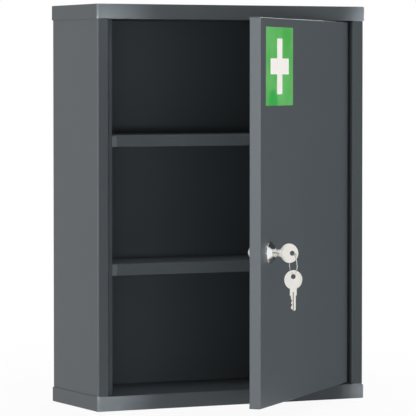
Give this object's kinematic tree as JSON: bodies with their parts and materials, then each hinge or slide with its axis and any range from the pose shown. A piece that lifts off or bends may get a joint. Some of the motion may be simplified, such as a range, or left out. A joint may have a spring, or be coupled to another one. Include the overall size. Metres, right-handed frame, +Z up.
{
  "type": "lockable medicine cabinet",
  "caption": "Lockable sheet-steel wall cabinet for medicines, with fixed shelves, a flush pan door on hidden pivots, and a cam lock holding a key with a spare on its ring.",
  "frame": {"origin": "centre of the underside of the bottom cap, where the cabinet stands", "axes": "+Z up, +Y to the wall behind the cabinet, +X to the hinged side of the door seen from the front, which faces -Y"},
  "size_m": [0.343, 0.3445, 0.46],
  "materials": {
    "enclosure_paint": "satin grey powder coat with a fine texture",
    "lock_chrome": "polished",
    "zinc": "zinc plated, dull",
    "key_nickel": "nickel plated, tumbled",
    "sign_film": "green vinyl film with a white cross",
    "bush_nylon": "matte"
  },
  "bodies": {
    "cabinet": {"top_cap": "enclosure_paint", "bottom_cap": "enclosure_paint", "ceiling_tray": "enclosure_paint", "floor_tray": "enclosure_paint", "left_side_panel": "enclosure_paint", "right_side_panel": "enclosure_paint", "back_panel": "enclosure_paint", "back_rivets": "zinc", "upper_shelf": "enclosure_paint", "lower_shelf": "enclosure_paint", "upper_pivot_pin": "zinc", "lower_pivot_pin": "zinc"},
    "door": {"door_panel": "enclosure_paint", "upper_pivot_bush": "bush_nylon", "lower_pivot_bush": "bush_nylon", "lock_housing": "lock_chrome", "lock_washer": "zinc", "lock_nut": "zinc"},
    "lock_core": {"lock_plug": "lock_chrome", "lock_cam": "zinc", "cam_washer": "zinc", "cam_nut": "zinc"},
    "key": {"key": "key_nickel"},
    "key_ring": {"key_ring": "key_nickel"},
    "spare_key": {"spare_key": "key_nickel"}
  },
  "joints": [
    {"name": "door_hinge", "type": "hinge", "parent": "cabinet", "child": "door", "pos_m": [0.1429, -0.0571, 0.23], "axis": [0, 0, 1], "range_deg": [-43.5, 66.5]},
    {"name": "lock_turn", "type": "hinge", "parent": "door", "child": "lock_core", "pos_m": [-0.04862, -0.24781, 0.1865], "axis": [0.6884, -0.7254, 0], "range_deg": [0, 90]},
    {"name": "key_slide", "type": "slide", "parent": "lock_core", "child": "key", "axis": [0.6884, -0.7254, 0], "range_m": [0, 0.03]},
    {"name": "ring_swing", "type": "hinge", "parent": "key", "child": "key_ring", "pos_m": [-0.02951, -0.26795, 0.18586], "axis": [-0.7254, -0.6884, 0], "range_deg": [-10, 60]},
    {"name": "spare_key_swing", "type": "hinge", "parent": "key_ring", "child": "spare_key", "pos_m": [-0.02951, -0.26795, 0.16306], "axis": [-0.1132, -0.9936, 0], "range_deg": [-15, 45]}
  ]
}
